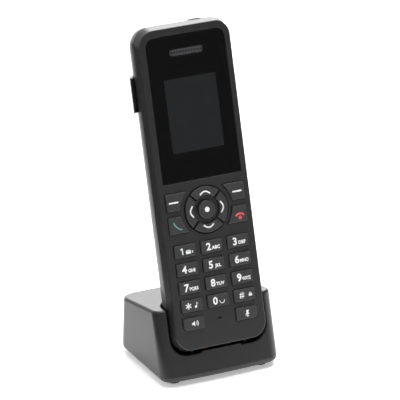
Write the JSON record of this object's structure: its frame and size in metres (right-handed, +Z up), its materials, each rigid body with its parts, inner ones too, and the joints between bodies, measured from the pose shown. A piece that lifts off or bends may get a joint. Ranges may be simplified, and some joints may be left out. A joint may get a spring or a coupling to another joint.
{
  "type": "cordless phone with base",
  "caption": "Slim cordless keypad handset leaning back in a small charging cradle, with a display window, a ring of direction keys, a battery door and a belt clip.",
  "frame": {"origin": "on the surface that the cradle's feet rest on, under the middle of the whole object's box", "axes": "+X to the right of someone facing the keypad, +Y away from them, +Z up"},
  "size_m": [0.0664, 0.0694, 0.1765],
  "materials": {
    "case_plastic": "fine moulded grain, satin",
    "clip_plastic": "fine moulded grain, satin",
    "key_plastic": "smooth moulded, satin",
    "window": "polished, black printed behind",
    "display": "unlit display",
    "grille_metal": "perforated, satin",
    "capsule": "moulded",
    "rubber": "moulded",
    "film": "clear film",
    "circuit_board": "solder mask",
    "tinned_sheet": "tinned",
    "cell_sleeve": "shrink sleeve",
    "contact_metal": "gold flash",
    "clear_plastic": "smoked clear moulding",
    "socket_plastic": "moulded",
    "screw_steel": "blackened",
    "cradle_plastic": "fine moulded grain, satin"
  },
  "bodies": {
    "cradle": {"cradle_shell": "cradle_plastic", "cradle_base_plate": "cradle_plastic", "cradle_feet": "rubber", "cradle_screws": "screw_steel", "cradle_contact_carrier": "socket_plastic", "cradle_board": "circuit_board", "cradle_usb_inlet": "tinned_sheet", "cradle_ballast": "screw_steel"},
    "handset": {"front_case": "case_plastic", "rear_case": "case_plastic", "display_window": "window", "display_module": "display", "earpiece_grille": "grille_metal", "earpiece": "capsule", "microphone": "capsule", "loudspeaker": "capsule", "keypad_mat": "rubber", "dome_sheet": "film", "main_board": "circuit_board", "shield_can": "tinned_sheet", "antenna": "tinned_sheet", "battery_cells": "cell_sleeve", "battery_contacts": "contact_metal", "message_light": "clear_plastic", "headset_jack": "socket_plastic", "charge_pads": "contact_metal", "case_screws": "screw_steel"},
    "key_1": {"key_1": "key_plastic"},
    "key_2": {"key_2": "key_plastic"},
    "key_3": {"key_3": "key_plastic"},
    "key_4": {"key_4": "key_plastic"},
    "key_5": {"key_5": "key_plastic"},
    "key_6": {"key_6": "key_plastic"},
    "key_7": {"key_7": "key_plastic"},
    "key_8": {"key_8": "key_plastic"},
    "key_9": {"key_9": "key_plastic"},
    "key_star": {"key_star": "key_plastic"},
    "key_0": {"key_0": "key_plastic"},
    "key_hash": {"key_hash": "key_plastic"},
    "speaker_key": {"speaker_key": "key_plastic"},
    "mute_key": {"mute_key": "key_plastic"},
    "soft_key_left": {"soft_key_left": "key_plastic"},
    "soft_key_right": {"soft_key_right": "key_plastic"},
    "call_key": {"call_key": "key_plastic"},
    "end_key": {"end_key": "key_plastic"},
    "nav_up_key": {"nav_up_key": "key_plastic"},
    "nav_right_key": {"nav_right_key": "key_plastic"},
    "nav_down_key": {"nav_down_key": "key_plastic"},
    "nav_left_key": {"nav_left_key": "key_plastic"},
    "select_key": {"select_key": "key_plastic"},
    "battery_door": {"battery_door": "case_plastic"},
    "belt_clip": {"belt_clip": "clip_plastic"},
    "jack_cover": {"jack_cover": "rubber"},
    "cradle_contact_left": {"cradle_contact_left": "contact_metal"},
    "cradle_contact_right": {"cradle_contact_right": "contact_metal"}
  },
  "joints": [
    {"name": "handset_lift", "type": "slide", "parent": "cradle", "child": "handset", "axis": [0, 0.279, 0.9603], "range_m": [0, 0.06]},
    {"name": "key_1_press", "type": "slide", "parent": "handset", "child": "key_1", "axis": [0, 0.9603, -0.279], "range_m": [0, 0.00035], "stiffness_N_per_m": 800, "springref_m": -0.0004},
    {"name": "key_2_press", "type": "slide", "parent": "handset", "child": "key_2", "axis": [0, 0.9603, -0.279], "range_m": [0, 0.00035], "stiffness_N_per_m": 800, "springref_m": -0.0004},
    {"name": "key_3_press", "type": "slide", "parent": "handset", "child": "key_3", "axis": [0, 0.9603, -0.279], "range_m": [0, 0.00035], "stiffness_N_per_m": 800, "springref_m": -0.0004},
    {"name": "key_4_press", "type": "slide", "parent": "handset", "child": "key_4", "axis": [0, 0.9603, -0.279], "range_m": [0, 0.00035], "stiffness_N_per_m": 800, "springref_m": -0.0004},
    {"name": "key_5_press", "type": "slide", "parent": "handset", "child": "key_5", "axis": [0, 0.9603, -0.279], "range_m": [0, 0.00035], "stiffness_N_per_m": 800, "springref_m": -0.0004},
    {"name": "key_6_press", "type": "slide", "parent": "handset", "child": "key_6", "axis": [0, 0.9603, -0.279], "range_m": [0, 0.00035], "stiffness_N_per_m": 800, "springref_m": -0.0004},
    {"name": "key_7_press", "type": "slide", "parent": "handset", "child": "key_7", "axis": [0, 0.9603, -0.279], "range_m": [0, 0.00035], "stiffness_N_per_m": 800, "springref_m": -0.0004},
    {"name": "key_8_press", "type": "slide", "parent": "handset", "child": "key_8", "axis": [0, 0.9603, -0.279], "range_m": [0, 0.00035], "stiffness_N_per_m": 800, "springref_m": -0.0004},
    {"name": "key_9_press", "type": "slide", "parent": "handset", "child": "key_9", "axis": [0, 0.9603, -0.279], "range_m": [0, 0.00035], "stiffness_N_per_m": 800, "springref_m": -0.0004},
    {"name": "key_star_press", "type": "slide", "parent": "handset", "child": "key_star", "axis": [0, 0.9603, -0.279], "range_m": [0, 0.00035], "stiffness_N_per_m": 800, "springref_m": -0.0004},
    {"name": "key_0_press", "type": "slide", "parent": "handset", "child": "key_0", "axis": [0, 0.9603, -0.279], "range_m": [0, 0.00035], "stiffness_N_per_m": 800, "springref_m": -0.0004},
    {"name": "key_hash_press", "type": "slide", "parent": "handset", "child": "key_hash", "axis": [0, 0.9603, -0.279], "range_m": [0, 0.00035], "stiffness_N_per_m": 800, "springref_m": -0.0004},
    {"name": "speaker_key_press", "type": "slide", "parent": "handset", "child": "speaker_key", "axis": [0, 0.9603, -0.279], "range_m": [0, 0.00035], "stiffness_N_per_m": 800, "springref_m": -0.0004},
    {"name": "mute_key_press", "type": "slide", "parent": "handset", "child": "mute_key", "axis": [0, 0.9603, -0.279], "range_m": [0, 0.00035], "stiffness_N_per_m": 800, "springref_m": -0.0004},
    {"name": "soft_key_left_press", "type": "slide", "parent": "handset", "child": "soft_key_left", "axis": [0, 0.9603, -0.279], "range_m": [0, 0.00035], "stiffness_N_per_m": 800, "springref_m": -0.0004},
    {"name": "soft_key_right_press", "type": "slide", "parent": "handset", "child": "soft_key_right", "axis": [0, 0.9603, -0.279], "range_m": [0, 0.00035], "stiffness_N_per_m": 800, "springref_m": -0.0004},
    {"name": "call_key_press", "type": "slide", "parent": "handset", "child": "call_key", "axis": [0, 0.9603, -0.279], "range_m": [0, 0.00035], "stiffness_N_per_m": 800, "springref_m": -0.0004},
    {"name": "end_key_press", "type": "slide", "parent": "handset", "child": "end_key", "axis": [0, 0.9603, -0.279], "range_m": [0, 0.00035], "stiffness_N_per_m": 800, "springref_m": -0.0004},
    {"name": "nav_up_key_press", "type": "slide", "parent": "handset", "child": "nav_up_key", "axis": [0, 0.9603, -0.279], "range_m": [0, 0.00035], "stiffness_N_per_m": 800, "springref_m": -0.0004},
    {"name": "nav_right_key_press", "type": "slide", "parent": "handset", "child": "nav_right_key", "axis": [0, 0.9603, -0.279], "range_m": [0, 0.00035], "stiffness_N_per_m": 800, "springref_m": -0.0004},
    {"name": "nav_down_key_press", "type": "slide", "parent": "handset", "child": "nav_down_key", "axis": [0, 0.9603, -0.279], "range_m": [0, 0.00035], "stiffness_N_per_m": 800, "springref_m": -0.0004},
    {"name": "nav_left_key_press", "type": "slide", "parent": "handset", "child": "nav_left_key", "axis": [0, 0.9603, -0.279], "range_m": [0, 0.00035], "stiffness_N_per_m": 800, "springref_m": -0.0004},
    {"name": "select_key_press", "type": "slide", "parent": "handset", "child": "select_key", "axis": [0, 0.9603, -0.279], "range_m": [0, 0.00035], "stiffness_N_per_m": 800, "springref_m": -0.0004},
    {"name": "battery_door_off", "type": "slide", "parent": "handset", "child": "battery_door", "axis": [0, 0.9603, -0.279], "range_m": [0, 0.03]},
    {"name": "belt_clip_off", "type": "slide", "parent": "handset", "child": "belt_clip", "axis": [0, 0.9603, -0.279], "range_m": [0, 0.03]},
    {"name": "jack_cover_out", "type": "slide", "parent": "handset", "child": "jack_cover", "axis": [1, 0, 0], "range_m": [0, 0.005]},
    {"name": "cradle_contact_left_press", "type": "slide", "parent": "cradle", "child": "cradle_contact_left", "axis": [0, -0.279, -0.9603], "range_m": [0, 0.0008], "stiffness_N_per_m": 400, "springref_m": -0.001},
    {"name": "cradle_contact_right_press", "type": "slide", "parent": "cradle", "child": "cradle_contact_right", "axis": [0, -0.279, -0.9603], "range_m": [0, 0.0008], "stiffness_N_per_m": 400, "springref_m": -0.001}
  ],
  "couplings": [
    {"joint": "cradle_contact_right_press", "follows": "cradle_contact_left_press", "ratio": 1}
  ]
}
